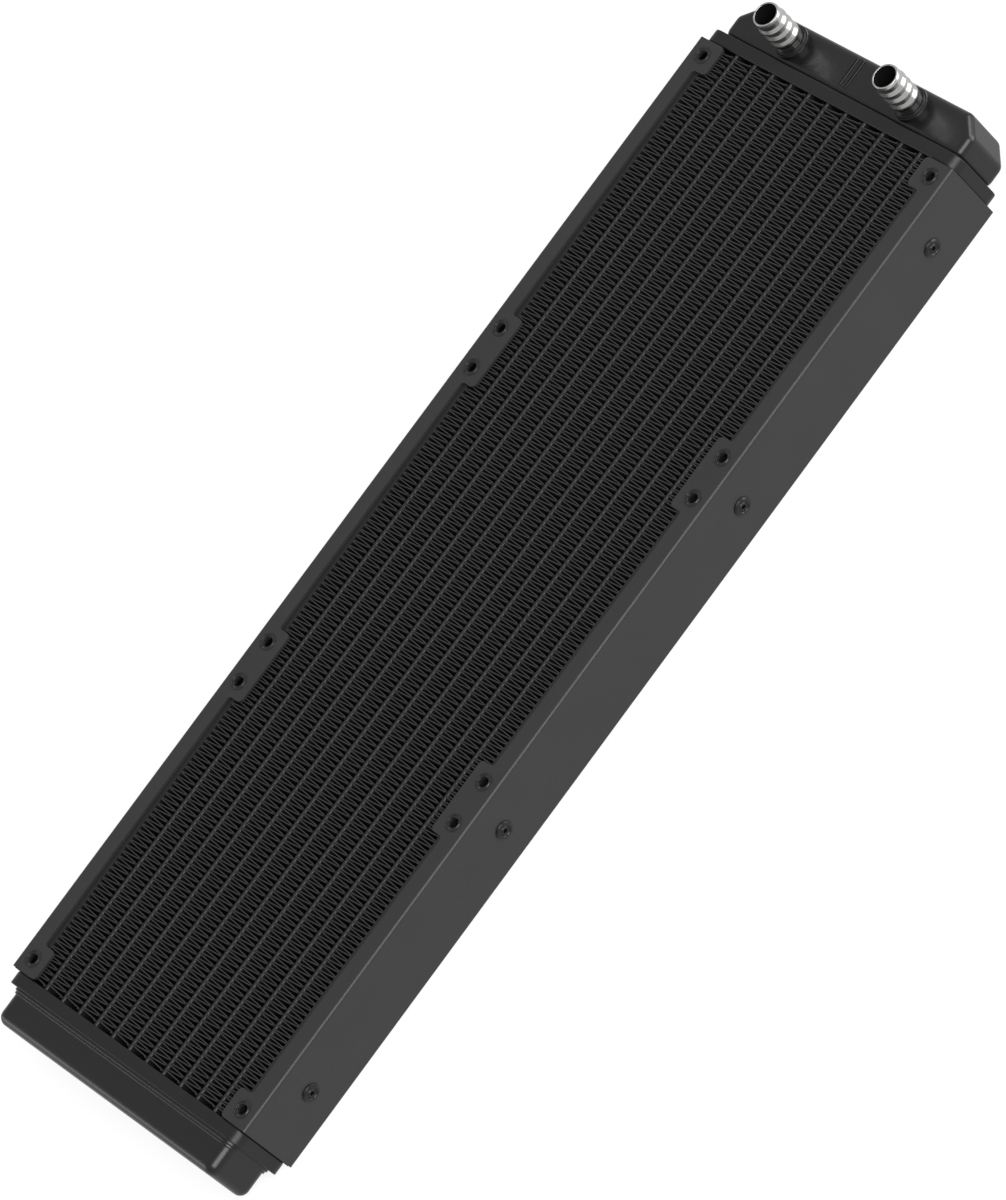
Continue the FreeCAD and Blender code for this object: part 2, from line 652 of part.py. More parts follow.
def make_hose_barb(side, sign):
    """Plated barb: each crest slopes in towards the tip, so that a hose slides on."""
    corners = [
        ("tail_bore", "thread_end"), ("tail_radius", "thread_end"),
        ("tail_radius", "neck_top"), ("crest_radius", "neck_top"),
    ]
    for crest in range(3):
        middle = f"crest_first + {crest} * crest_pitch"
        if crest:
            corners += [
                ("valley_radius", f"{middle} - crest_land / 2 - crest_shoulder"),
                ("crest_radius", f"{middle} - crest_land / 2"),
            ]
        corners += [
            ("crest_radius", f"{middle} + crest_land / 2"),
            ("valley_radius", f"{middle} + crest_land / 2 + crest_slope"),
        ]
    corners += [
        ("valley_radius", "barb_tip - tip_taper"), ("tip_radius", "barb_tip"),
        ("barb_bore", "barb_tip"), ("barb_bore", "neck_top"), ("tail_bore", "neck_top - bore_taper"),
    ]
    turned_part(f"hose_barb_{side}", sign, corners)


for side, sign in SIDES:
    make_side_frame(side, sign)
    make_side_rail(side, sign)
    make_rivets(side, sign)
    make_port_boss(side, sign)
    make_seal_ring(side, sign)
    make_fitting_neck(side, sign)
    make_hose_barb(side, sign)
for number in range(1, int(size("tube_count")) + 1):
    make_tube(number)
make_fin_rows()
make_header("port", 0)
make_header("return", 180)
make_port_tank()
make_divider()
make_return_tank()

doc.recompute()
failed = [o.Name for o in doc.Objects if "Invalid" in o.State or "Error" in o.State]
if failed:
    raise ValueError(f"objects that did not compute: {failed}")
for part in parts:
    if part.Shape.isNull() or not part.Shape.isValid():
        raise ValueError(f"{part.Label} has no valid shape")

os.makedirs("parts", exist_ok=True)
for part in parts:
    part.Shape.exportStep(os.path.join("parts", f"{part.Label}.step"))
    solids = len(part.Shape.Solids)
    print(f"{part.Label}: {part.Shape.Volume:.1f} mm3, {solids} solid(s)")
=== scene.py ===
"""Liquid cooling radiator for three 120 mm fans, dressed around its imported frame.

Metres, in the part's own frame: +X towards the hose barbs, +Y the left side, +Z out
of the front. One section for each piece, in the order in which it is put together.
"""

import math

import bpy
import numpy as np
from mathutils import Matrix, Vector


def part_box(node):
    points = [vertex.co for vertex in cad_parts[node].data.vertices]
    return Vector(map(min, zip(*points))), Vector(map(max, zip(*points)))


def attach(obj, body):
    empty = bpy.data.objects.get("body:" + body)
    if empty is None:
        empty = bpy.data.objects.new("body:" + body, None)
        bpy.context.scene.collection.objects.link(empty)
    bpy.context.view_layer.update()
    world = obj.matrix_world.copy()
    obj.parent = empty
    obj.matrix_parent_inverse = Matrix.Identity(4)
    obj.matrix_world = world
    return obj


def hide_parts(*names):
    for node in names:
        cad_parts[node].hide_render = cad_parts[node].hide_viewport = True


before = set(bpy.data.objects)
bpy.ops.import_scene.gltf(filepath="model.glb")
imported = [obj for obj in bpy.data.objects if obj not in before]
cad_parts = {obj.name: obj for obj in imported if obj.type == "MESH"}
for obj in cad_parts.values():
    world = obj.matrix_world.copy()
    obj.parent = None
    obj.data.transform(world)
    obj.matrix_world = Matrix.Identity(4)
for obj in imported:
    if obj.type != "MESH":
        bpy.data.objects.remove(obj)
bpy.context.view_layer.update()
MM = 0.001
SIDES = (("left", 1), ("right", -1))

# ---------------------------------------------------------------- fin rows
# Black-coated aluminium foil, folded into round-crested waves and brazed between two
# flat tubes. Each fold leans a little differently, as the folding rollers leave it.
FIN_PITCH = 2.0 * MM
FIN_FOIL = 0.36 * MM
FIN_CREST = 0.5 * MM
FIN_CREST_RADIUS = 0.42 * MM
FIN_ARC_STEPS = 5
FIN_UNEVENNESS = 0.05 * MM
FIN_OVERRUN = 0.85 * MM
FIN_END_ROOM = (0.5, 0.9)
FIN_COLOUR = (0.036, 0.036, 0.0365)
COAT_DARKEST = 0.72
COAT_LIGHTEST = 1.35
COAT_CLOUD_SIZE = 14 * MM
COAT_RIPPLE_SIZE = 1.6 * MM
LONGEST_ARC_SHARE = 0.46
LONGEST_REST_SHARE = 0.03


class Field:
    """A number or a vector that varies over a surface: a sum or a product of fields, or of a
    field and a number, adds the Math nodes that work it out."""

    def __init__(self, shader, socket):
        self.shader = shader
        self.socket = socket

    def _with(self, operation, first, second):
        return self.shader.node("ShaderNodeMath", {"operation": operation}, {0: first, 1: second})

    def __add__(self, other):
        return self._with("ADD", self, other)

    __radd__ = __add__

    def __mul__(self, other):
        return self._with("MULTIPLY", self, other)

    __rmul__ = __mul__


class Shader:
    """One material: its nodes, and the finish that they end in."""

    def __init__(self, name):
        self.material = bpy.data.materials.new(name)
        self.material.use_nodes = True
        self.tree = self.material.node_tree
        self.finish = self.tree.nodes["Principled BSDF"]

    def node(self, kind, settings, values, output=0):
        """Any node: its settings first, then the values or links of its sockets."""
        made = self.tree.nodes.new(kind)
        for key, value in settings.items():
            setattr(made, key, value)
        for key, value in values.items():
            self.give(made.inputs[key], value)
        return Field(self, made.outputs[output])

    def give(self, socket, value):
        """A field is linked to the socket; a number, colour or vector is set on it."""
        if isinstance(value, Field):
            self.tree.links.new(value.socket, socket)
        else:
            socket.default_value = value

    def set(self, **values):
        """Sockets of the finish, named with underscores for spaces."""
        for key, value in values.items():
            self.give(self.finish.inputs[key.replace("_", " ")], value)

    def place(self):
        """Where a point of the surface is, in the part's own frame."""
        return self.node("ShaderNodeTexCoord", {}, {}, output="Object")

    def noise(self, size, detail=2.0, stretch=(1, 1, 1), seed=0.0):
        """Soft noise whose spots are about size metres across, drawn out by stretch."""
        where = self.node(
            "ShaderNodeMapping", {},
            {"Vector": self.place(), "Location": (seed, seed, seed), "Scale": stretch})
        return self.node(
            "ShaderNodeTexNoise", {},
            {"Vector": where, "Scale": 1 / size, "Detail": detail, "Roughness": 0.55})

    def blend(self, amount, first, second):
        """A colour from first, where the amount is 0, to second, where it is 1."""
        return self.node(
            "ShaderNodeMix", {"data_type": "RGBA"},
            {0: amount, 6: (*first, 1), 7: (*second, 1)}, output=2)

    def bump(self, height, distance):
        """Relief whose height from 0 to 1 stands for that distance in metres."""
        return self.node("ShaderNodeBump", {}, {"Height": height, "Distance": distance})


def coated(name, colour, roughness, grain=0.35 * MM, relief=0.012 * MM, gloss=0.0, level=0.5):
    """Black coat: a fine grain over a slow unevenness, in colour, gloss and relief."""
    shader = Shader(name)
    fine = shader.noise(grain, detail=3.0)
    slow = shader.noise(COAT_CLOUD_SIZE, seed=3.1)
    ripple = shader.noise(COAT_RIPPLE_SIZE)
    dark = tuple(COAT_DARKEST * c for c in colour)
    light = tuple(COAT_LIGHTEST * c for c in colour)
    shader.set(
        Base_Color=shader.blend(0.65 * fine + 0.35 * slow, dark, light),
        Roughness=roughness - 0.06 + 0.08 * fine + 0.05 * slow,
        Normal=shader.bump(0.7 * fine + 0.3 * ripple, relief),
        Coat_Weight=gloss,
        Coat_Roughness=0.16,
        Specular_IOR_Level=level,
    )
    return shader.material


def rounded(corners, steps, radius, rest=0.0, closed=True):
    """Outlines, each corner made an arc of its radius: the rational quadratic curve through
    (1-u)^2 enter + 2u(1-u)w corner + u^2 leave, whose weight w is the cosine of half the turn.
    With a rest, a short straight run is marked off before and after each arc. An outline that
    isn't closed keeps its first and last points as they are."""
    here = np.asarray(corners, float)
    before = np.roll(here, 1, axis=-2) - here
    after = np.roll(here, -1, axis=-2) - here
    side_before = np.linalg.norm(before, axis=-1, keepdims=True)
    side_after = np.linalg.norm(after, axis=-1, keepdims=True)
    before, after = before / side_before, after / side_after
    inside = np.clip((before * after).sum(-1, keepdims=True), -0.9999, 0.9999)
    reach = np.asarray(radius, float)[..., None] * np.sqrt((1 + inside) / (1 - inside))
    shorter = np.minimum(side_before, side_after)
    reach = np.minimum(reach, LONGEST_ARC_SHARE * shorter)
    hold = np.minimum(rest, LONGEST_REST_SHARE * shorter)
    weight = np.sqrt((1 - inside) / 2)[..., None, :]
    u = np.linspace(0, 1, steps)[:, None]
    enter, middle, leave = (
        p[..., None, :] for p in (here + before * reach, here, here + after * reach))
    share = (1 - u) ** 2 + 2 * u * (1 - u) * weight + u ** 2
    curve = ((1 - u) ** 2 * enter + 2 * u * (1 - u) * weight * middle + u ** 2 * leave) / share
    if rest:
        first = (here + before * (reach + hold))[..., None, :]
        last = (here + after * (reach + hold))[..., None, :]
        curve = np.concatenate([first, curve, last], axis=-2)
    each = curve.shape[-2]
    line = curve.reshape(*here.shape[:-2], -1, here.shape[-1])
    if closed:
        return line
    return np.concatenate(
        [here[..., :1, :], line[..., each:-each, :], here[..., -1:, :]], axis=-2)


def grid_faces(rows, columns, close_rows, close_columns):
    """Quads of a grid of points, joined back to its start along either direction."""
    r = np.arange(rows if close_rows else rows - 1)[:, None]
    c = np.arange(columns if close_columns else columns - 1)[None, :]
    r_next, c_next = (r + 1) % rows, (c + 1) % columns
    corners = (r * columns + c, r_next * columns + c,
               r_next * columns + c_next, r * columns + c_next)
    return np.stack(np.broadcast_arrays(*corners), axis=-1).reshape(-1, 4)


def make_piece(name, shells, material, body, replaced, crease=35):
    """A mesh of one or more shells, each a pair of points and arrays of faces, riding on its
    body in place of its CAD nodes."""
    points, faces = [], []
    for shell_points, shell_faces in shells:
        start = sum(len(p) for p in points)
        points.append(np.asarray(shell_points, np.float32).reshape(-1, 3))
        faces += [np.asarray(f) + start for f in shell_faces]
    points = np.concatenate(points)
    mesh = bpy.data.meshes.new(name)
    mesh.vertices.add(len(points))
    mesh.vertices.foreach_set("co", points.ravel())
    sizes = np.concatenate([np.full(len(f), f.shape[1]) for f in faces])
    loops = np.concatenate([f.ravel() for f in faces])
    mesh.loops.add(len(loops))
    mesh.loops.foreach_set("vertex_index", loops.astype(np.int32))
    mesh.polygons.add(len(sizes))
    starts = np.concatenate([[0], np.cumsum(sizes)[:-1]])
    mesh.polygons.foreach_set("loop_start", starts.astype(np.int32))
    mesh.polygons.foreach_set("use_smooth", np.ones(len(sizes), bool))
    mesh.update(calc_edges=True)
    mesh.validate()
    mesh.set_sharp_from_angle(angle=math.radians(crease))
    mesh.materials.append(material)
    piece = bpy.data.objects.new(name, mesh)
    bpy.context.scene.collection.objects.link(piece)
    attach(piece, body)
    if replaced:
        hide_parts(*replaced)
    return piece


def dress(node, material):
    """Give a CAD node, whose shape is right, its finish."""
    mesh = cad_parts[node].data
    mesh.materials.clear()
    mesh.materials.append(material)


def fin_row(low, high, chance):
    """Ribbon of foil: the wave's middle line, moved half the foil either way along its
    normal, at the front and at the back, which makes a four-sided tube closed at its ends."""
    half = (high.y - low.y) / 2 - FIN_FOIL / 2
    start, end = low.x - FIN_OVERRUN, high.x + FIN_OVERRUN
    folds = round(2 * (end - start) / FIN_PITCH)
    room = chance.uniform(*FIN_END_ROOM, 2) * FIN_PITCH / 2
    middle = np.linspace(start + room[0], end - room[1], folds)
    middle += chance.normal(0, FIN_UNEVENNESS, folds)
    side = np.where(np.arange(folds) % 2, 1.0, -1.0) * half
    flat = FIN_CREST / 2
    corners = np.stack(
        [np.stack([middle - flat, side], 1), np.stack([middle + flat, side], 1)], 1)
    line = rounded(corners.reshape(-1, 2), FIN_ARC_STEPS, FIN_CREST_RADIUS, closed=False)
    along = np.gradient(line, axis=0)
    normal = np.stack([-along[:, 1], along[:, 0]], 1)
    normal /= np.linalg.norm(normal, axis=1)[:, None]
    offset = np.array([1, 1, -1, -1])[None, :, None] * FIN_FOIL / 2
    xy = line[:, None] + offset * normal[:, None]
    xy[..., 1] += (low.y + high.y) / 2
    z = np.broadcast_to(np.array([high.z, low.z, low.z, high.z]), xy.shape[:2])
    ends = np.array([[0, 1, 2, 3], [3, 2, 1, 0]]) + np.array([[0], [4 * (len(line) - 1)]])
    return np.dstack([xy, z]), [grid_faces(len(line), 4, False, True), ends]


fin_coat = coated("fin_coat", FIN_COLOUR, 0.42, grain=0.5 * MM, level=0.4)
fin_chance = np.random.default_rng(12)
for node in sorted(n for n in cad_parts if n.startswith("fin_row_")):
    row = fin_row(*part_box(node), fin_chance)
    make_piece(f"{node}_folded", [row], fin_coat, "root", [node])

# ---------------------------------------------------------------- flat tubes
# Extruded aluminium tubes with rounded noses. The coolant runs along them, and their
# noses show between the fin rows as thin lighter lines.
TUBE_COLOUR = (0.026, 0.026, 0.027)
tube_coat = coated("tube_coat", TUBE_COLOUR, 0.40, grain=0.4 * MM)
for node in sorted(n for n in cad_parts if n.startswith("flat_tube_")):
    dress(node, tube_coat)

# ---------------------------------------------------------------- side rails
# Closed aluminium box rails, brazed along the outermost fins to stiffen the core. The side
# frames are riveted to them.
RAIL_COLOUR = (0.014, 0.014, 0.015)
rail_coat = coated("rail_coat", RAIL_COLOUR, 0.45)
for side, _ in SIDES:
    dress(f"side_rail_{side}", rail_coat)

# ---------------------------------------------------------------- headers
# Pressed trays that the tubes pass through, with generously rounded corners. Their rims
# take the tanks' feet, and the whole joint is brazed.
ARC_STEPS = 9
FLAT_REST = 0.25 * MM
HEADER_COLOUR = (0.011, 0.011, 0.0115)
HEADER_HALF_WIDTH = 57.2 * MM
HEADER_CORNER = 4.5 * MM
HEADER_EDGE = 0.45 * MM
HEADER_LIP = 0.35 * MM
TRAY_FACE_INSET = 6 * MM
SMALLEST_CORNER = 0.05 * MM


def inset(corners, distance):
    """A convex anticlockwise outline with its sides moved inwards by each distance: a corner
    moves along (a + b) / (1 + a.b), where a and b are the inward normals of its two sides."""
    here = np.asarray(corners, float)
    along = np.roll(here, -1, axis=0) - here
    along /= np.linalg.norm(along, axis=1)[:, None]
    inward = np.stack([-along[:, 1], along[:, 0]], 1)
    before = np.roll(inward, 1, axis=0)
    shift = (inward + before) / (1 + (inward * before).sum(1))[:, None]
    return here + np.asarray(distance)[:, None, None] * shift


def capped(points):
    """Faces of a grid that is closed round its rows, with a face over each of its ends."""
    rows, columns = points.shape[:2]
    ring = np.arange(rows) * columns
    return [grid_faces(rows, columns, True, False), ring[None, ::-1], ring[None] + columns - 1]


def drawn(corners, radius, profile):
    """Closed shell of a drawn or pressed box: at each height of the profile stands the outline,
    inset by the profile's depth there, with its corners' radius less by the same depth."""
    height, depth = np.asarray(profile).T
    corner_radius = np.maximum(radius - depth, SMALLEST_CORNER)[:, None]
    rings = rounded(inset(corners, depth), ARC_STEPS, corner_radius, rest=FLAT_REST)
    tall = np.broadcast_to(height[:, None, None], (*rings.shape[:2], 1))
    points = np.concatenate([rings, tall], axis=-1).transpose(1, 0, 2)
    return points, capped(points)


def rectangle(half_width, low, high):
    """Anticlockwise outline, as wide to the left as to the right, from low to high."""
    return [(-half_width, low), (half_width, low), (half_width, high), (-half_width, high)]


def towards(sign, shell):
    """Stand a shell's height along +X or -X: its own width becomes Y and its depth Z."""
    points, faces = shell
    across, up, out = points[..., 0], points[..., 1], points[..., 2]
    return np.stack([sign * out, sign * across, up], axis=-1), faces


header_coat = coated("header_coat", HEADER_COLOUR, 0.36)
for end, sign in (("port", 1), ("return", -1)):
    low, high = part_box(f"header_{end}")
    near_end, far_end = sorted((abs(low.x), abs(high.x)))
    tray_profile = rounded(
        [(near_end, TRAY_FACE_INSET), (near_end, 0), (far_end, 0), (far_end, TRAY_FACE_INSET)],
        ARC_STEPS, [0, HEADER_EDGE, HEADER_LIP, 0], rest=FLAT_REST, closed=False)
    tray = drawn(rectangle(HEADER_HALF_WIDTH, low.z, high.z), HEADER_CORNER, tray_profile)
    make_piece(f"header_{end}_pressed", [towards(sign, tray)], header_coat, "root",
               [f"header_{end}"])

# ---------------------------------------------------------------- port tank
# Inlet and outlet tank: folded from sheet with cut corners and soft edges, a low
# stiffening rib with raised borders across its front, and a smooth semi-gloss coat.
TANK_COLOUR = (0.008, 0.008, 0.0085)
PORT_TANK_HALF_WIDTH = 54.2 * MM
PORT_TANK_SETBACK = 3.0 * MM
PORT_TANK_CUT = 6.8 * MM
PORT_TANK_EDGE = 2.9 * MM
PORT_TANK_CORNER = 3.2 * MM
TANK_ROOT = 0.5 * MM
RIB_WIDTH = 3.5 * MM
RIB_MIDDLE = 0.6 * MM
RIB_HEIGHT = 0.35 * MM
RIB_BEAD = 0.9 * MM
RIB_EDGE = 0.3 * MM
RIB_CORNER = 0.4 * MM
RIB_PANEL = 0.08 * MM
RIB_ENDS = (0.1849, 0.1953)

tank_coat = coated("tank_coat", TANK_COLOUR, 0.30, grain=0.6 * MM, gloss=0.25)
tank_low, tank_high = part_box("port_tank")
frame_low, frame_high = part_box("side_frame_left")
tank_front = frame_high.z - PORT_TANK_SETBACK
tank_back = frame_low.z + PORT_TANK_SETBACK
tank_start, tank_end = tank_low.x + TANK_ROOT, tank_high.x
short = PORT_TANK_HALF_WIDTH - PORT_TANK_CUT
tank_outline = [
    (tank_start, -PORT_TANK_HALF_WIDTH), (tank_end - PORT_TANK_CUT, -PORT_TANK_HALF_WIDTH),
    (tank_end, -short), (tank_end, short),
    (tank_end - PORT_TANK_CUT, PORT_TANK_HALF_WIDTH), (tank_start, PORT_TANK_HALF_WIDTH)]


def soft_box(corners, low, high, edge, corner):
    """Closed box on an outline, its top and bottom edges rolled over to the same radius."""
    lid = 2 * edge
    profile = rounded(
        [(low, lid), (low, 0), (high, 0), (high, lid)], ARC_STEPS, [0, edge, edge, 0],
        rest=FLAT_REST, closed=False)
    return drawn(corners, corner, profile)


def rib_box(low, high, height):
    """One raised strip across the tank's front, from low to high in Y."""
    corners = [(RIB_ENDS[0], low), (RIB_ENDS[1], low), (RIB_ENDS[1], high), (RIB_ENDS[0], high)]
    edge = min(RIB_EDGE, height)
    return soft_box(
        corners, tank_front - 3 * RIB_HEIGHT, tank_front + height, edge, RIB_CORNER)


rib_low, rib_high = RIB_MIDDLE - RIB_WIDTH / 2, RIB_MIDDLE + RIB_WIDTH / 2
make_piece(
    "port_tank_folded",
    [soft_box(tank_outline, tank_back, tank_front, PORT_TANK_EDGE, PORT_TANK_CORNER),
     rib_box(rib_low, rib_low + RIB_BEAD, RIB_HEIGHT),
     rib_box(rib_high - RIB_BEAD, rib_high, RIB_HEIGHT),
     rib_box(rib_low + RIB_BEAD / 2, rib_high - RIB_BEAD / 2, RIB_PANEL)],
    tank_coat, "root", ["port_tank"])
dress("flow_divider", tank_coat)

# ---------------------------------------------------------------- return tank
# Drawn box that turns the flow back, with two low beads round its root where it meets
# the header, and well rounded outer edges.
RETURN_HALF_WIDTH = 54.4 * MM
RETURN_SETBACK = 2.95 * MM
RETURN_EDGE = 3.4 * MM
RETURN_CORNER = 3.6 * MM
BEAD_HIGH = 1.0 * MM
BEAD_LOW = 0.5 * MM
BEAD_HIGH_END = 0.1832
BEAD_LOW_END = 0.1841
BEAD_EDGE = 0.2 * MM

return_low, return_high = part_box("return_tank")
root, outer_face = -return_high.x + TANK_ROOT, -return_low.x
return_profile = rounded(
    [(root, RETURN_EDGE), (root, -BEAD_HIGH), (BEAD_HIGH_END, -BEAD_HIGH),
     (BEAD_HIGH_END, -BEAD_LOW), (BEAD_LOW_END, -BEAD_LOW), (BEAD_LOW_END, 0),
     (outer_face, 0), (outer_face, 2 * RETURN_EDGE)],
    ARC_STEPS, [0, *5 * [BEAD_EDGE], RETURN_EDGE, 0],
    rest=FLAT_REST, closed=False)
return_outline = rectangle(
    RETURN_HALF_WIDTH, frame_low.z + RETURN_SETBACK, frame_high.z - RETURN_SETBACK)
return_shell = towards(-1, drawn(return_outline, RETURN_CORNER, return_profile))
make_piece("return_tank_drawn", [return_shell], tank_coat, "root", ["return_tank"])

# ---------------------------------------------------------------- side frames
# One millimetre steel sheet, folded into channels round the long sides, with screw tabs
# for the fans. Powder-coated satin black.
FRAME_COLOUR = (0.033, 0.033, 0.0342)
frame_coat = coated("frame_coat", FRAME_COLOUR, 0.36)
for side, _ in SIDES:
    dress(f"side_frame_{side}", frame_coat)

# ---------------------------------------------------------------- screw collars
# Each screw hole is countersunk and holds a pressed steel collar with a thread inside:
# an inner lip, a groove and an outer bead, in a smoother coat than the sheet. Its darker
# colour is painted shade, for the shadow in the countersunk groove.
# Painted shade: the collar's near-black colour stands in for the groove's shadow.
COLLAR_SHADE_COLOUR = (0.008, 0.008, 0.0085)
COLLAR_PROFILE = np.array([
    (3.05, -0.12), (3.05, 0.0), (2.6, 0.0), (2.56, -0.13), (2.34, -0.17), (2.1, 0.0),
    (1.72, 0.0), (1.72, -0.43)]) * MM
COLLAR_RADII = np.array([0.03, 0.12, 0.16, 0.08, 0.08, 0.16, 0.16, 0.03]) * MM
COLLAR_PROUD = 0.14 * MM
ROUND_STEPS = 64
SMALL_ARC_STEPS = 5
SMALL_REST = 0.03 * MM
FAN_PITCH = 120 * MM
FAN_SQUARE = 105 * MM
FAN_PLACES = (-1, 0, 1)


def turned(profile, twist=None):
    """Surface of revolution: the profile's (radius, height) carried round the axis, so that a
    point is (radius cos a, radius sin a, height). Twist adds to the radius at (a, point)."""
    angle = np.linspace(0, 2 * math.pi, ROUND_STEPS, endpoint=False)[:, None]
    radius, height = np.asarray(profile).T
    radius = radius + (0 if twist is None else twist(angle))
    return np.stack(np.broadcast_arrays(
        radius * np.cos(angle), radius * np.sin(angle), height[None]), axis=-1)


def ring_faces(points):
    """Faces of a turned surface whose profile is closed, so that it is a ring."""
    return [grid_faces(*points.shape[:2], True, True)]


# Painted shade: a darker, glossier coat than the sheet, for the groove's shadow.
collar_shade_coat = coated("collar_shade_coat", COLLAR_SHADE_COLOUR, 0.24, relief=0.003 * MM, gloss=0.5)
collar_line = rounded(COLLAR_PROFILE, SMALL_ARC_STEPS, COLLAR_RADII, rest=SMALL_REST)
front_collar = turned(collar_line) + np.array([0, 0, frame_high.z + COLLAR_PROUD])
back_collar = turned(collar_line) * np.array([1, -1, -1]) + np.array([0, 0, frame_low.z])
for side, sign in SIDES:
    collars = []
    for collar in (front_collar, back_collar):
        for fan in FAN_PLACES:
            for end in (-1, 1):
                place = (fan * FAN_PITCH + end * FAN_SQUARE / 2, sign * FAN_SQUARE / 2, 0)
                collars.append((collar + np.array(place), ring_faces(collar)))
    make_piece(f"screw_collars_{side}", collars, collar_shade_coat, "root", [])

# ---------------------------------------------------------------- side rivets
# Blind rivets through each side frame into the rail: a domed head that dips to a collar
# round the hole that the mandrel leaves, and an upset end inside the rail.
RIVET_COLOUR = (0.005, 0.005, 0.0052)
RIVET_PLACES = (-156.5 * MM, -60 * MM, 60 * MM, 156.5 * MM)
RIVET_PROFILE = np.array([
    (0.72, -0.42), (0.72, 0.70), (1.22, 0.74), (1.66, 0.34), (2.3, 1.0), (3.2, 0.34),
    (3.05, -0.02), (1.6, -0.02), (1.6, -1.72), (2.3, -1.72), (2.3, -2.8), (1.6, -3.6),
    (1.2, -3.6)]) * MM
RIVET_RADII = np.array([
    0, 0.1, 0.15, 0.35, 0.75, 0.2, 0.03, 0.03, 0.03, 0.2, 0.3, 0.2, 0]) * MM
RIVET_REST = 0.04 * MM

rivet_coat = coated("rivet_coat", RIVET_COLOUR, 0.30, relief=0.003 * MM, gloss=0.1)
rivet_line = rounded(
    RIVET_PROFILE[::-1], SMALL_ARC_STEPS, RIVET_RADII[::-1], rest=RIVET_REST, closed=False)
rivet_points = turned(rivet_line)
for side, sign in SIDES:
    low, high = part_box(f"side_frame_{side}")
    web = max(abs(low.y), abs(high.y))
    rivets = []
    for along in RIVET_PLACES:
        x, z, out = rivet_points[..., 0], rivet_points[..., 1], rivet_points[..., 2]
        standing = np.stack(
            [-sign * x + along, sign * (out + web), z + (low.z + high.z) / 2], axis=-1)
        rivets.append((standing, capped(rivet_points)))
    make_piece(f"side_rivets_{side}_domed", rivets, rivet_coat, "root",
               [f"side_rivets_{side}"])

# ---------------------------------------------------------------- port bosses
# Turned bosses brazed into the tank's front wall, threaded inside, with a seat for the
# seal ring and a narrow rim that catches the light.
BOSS_COLOUR = (0.010, 0.010, 0.0105)
PORT_ALONG = 189.7 * MM
PORT_OFFSET = 27.4 * MM
BOSS_PROFILE = np.array([
    (4.85, -2.5), (5.6, -2.5), (5.6, -0.05), (5.8, -0.05), (5.8, 1.72), (5.5, 1.72),
    (5.5, 1.27), (4.85, 1.27)]) * MM
BOSS_RADII = np.array([0.1, 0.1, 0.05, 0.05, 0.2, 0.14, 0.1, 0.1]) * MM
boss_coat = coated("boss_coat", BOSS_COLOUR, 0.18, relief=0.001 * MM, gloss=0.8)


def at_port(sign, points):
    """Stand a turned piece on the port tank's front, on the axis of that side's port."""
    return points + np.array([PORT_ALONG, sign * PORT_OFFSET, tank_front])


boss_line = rounded(BOSS_PROFILE, SMALL_ARC_STEPS, BOSS_RADII, rest=SMALL_REST)
for side, sign in SIDES:
    boss = at_port(sign, turned(boss_line))
    make_piece(f"port_boss_{side}_turned", [(boss, ring_faces(boss))], boss_coat, "root",
               [f"port_boss_{side}"])

# ---------------------------------------------------------------- seal rings
# Soft rubber rings of round cord, moulded whole. Each is squeezed between the boss's seat
# and the flange of its fitting, and rises with the fitting without turning.
SEAL_COLOUR = (0.012, 0.012, 0.012)
SEAL_RADIUS = 5.0 * MM
SEAL_CORD = 0.4 * MM
SEAL_MIDDLE = 1.69 * MM
SEAL_SECTION_STEPS = 16


def round_cord(radius, cord, height):
    """Section of a ring of round cord: a circle of points about (radius, height)."""
    angle = np.linspace(0, 2 * math.pi, SEAL_SECTION_STEPS, endpoint=False)
    return np.stack([radius + cord * np.cos(angle), height + cord * np.sin(angle)], axis=1)


rubber = coated("seal_rubber", SEAL_COLOUR, 0.6)
for side, sign in SIDES:
    ring = at_port(sign, turned(round_cord(SEAL_RADIUS, SEAL_CORD, SEAL_MIDDLE)))
    make_piece(f"seal_ring_{side}_moulded", [(ring, ring_faces(ring))], rubber,
               f"seal_{side}", [f"seal_ring_{side}"])

# ---------------------------------------------------------------- fitting necks
# Black anodised necks: a screw thread that goes down into the boss, a groove and a thin
# flange over the seal ring, and turned grip lines on the part that stands clear.
NECK_COLOUR = (0.006, 0.006, 0.0063)
THREAD_PITCH = 1.0 * MM
THREAD_DEPTH = 0.42 * MM
THREAD_LOW = -2.2 * MM
THREAD_HIGH = 0.9 * MM
THREAD_STEPS = 44
THREAD_FLANK = 0.8
# The neck's profile is written in millimetres, as (radius, height).
NECK_RADIUS = 4.8
GRIP_LINES = (3.3, 3.95, 4.6)
GRIP_DEPTH = 0.14
GRIP_HALF_WIDTH = 0.17
GRIP_RADIUS = 0.05
NECK_FOOT = [(3.9, -2.3), (4.4, -2.3)]

grip = [(radius, line + shift) for line in GRIP_LINES for radius, shift in (
    (NECK_RADIUS, -GRIP_HALF_WIDTH), (NECK_RADIUS - GRIP_DEPTH, 0),
    (NECK_RADIUS, GRIP_HALF_WIDTH))]
neck_corners = np.array([
    (4.4, 1.0), (4.4, 2.12), (5.4, 2.12), (5.4, 2.66), (NECK_RADIUS, 2.66), *grip,
    (NECK_RADIUS, 5.55), (3.9, 5.55)]) * MM
neck_radii = np.array([0.05, 0.1, 0.14, 0.24, 0.1, *len(grip) * [GRIP_RADIUS], 0.15, 0]) * MM
neck_upper = rounded(
    neck_corners, SMALL_ARC_STEPS, neck_radii, rest=SMALL_REST, closed=False)
thread_heights = np.linspace(THREAD_LOW, THREAD_HIGH, THREAD_STEPS)
spigot = np.stack([np.full(THREAD_STEPS, NECK_RADIUS * MM), thread_heights], axis=1)
neck_line = np.concatenate([np.array(NECK_FOOT) * MM, spigot, neck_upper])
threaded = np.zeros(len(neck_line))
threaded[len(NECK_FOOT):len(NECK_FOOT) + THREAD_STEPS] = 1.0


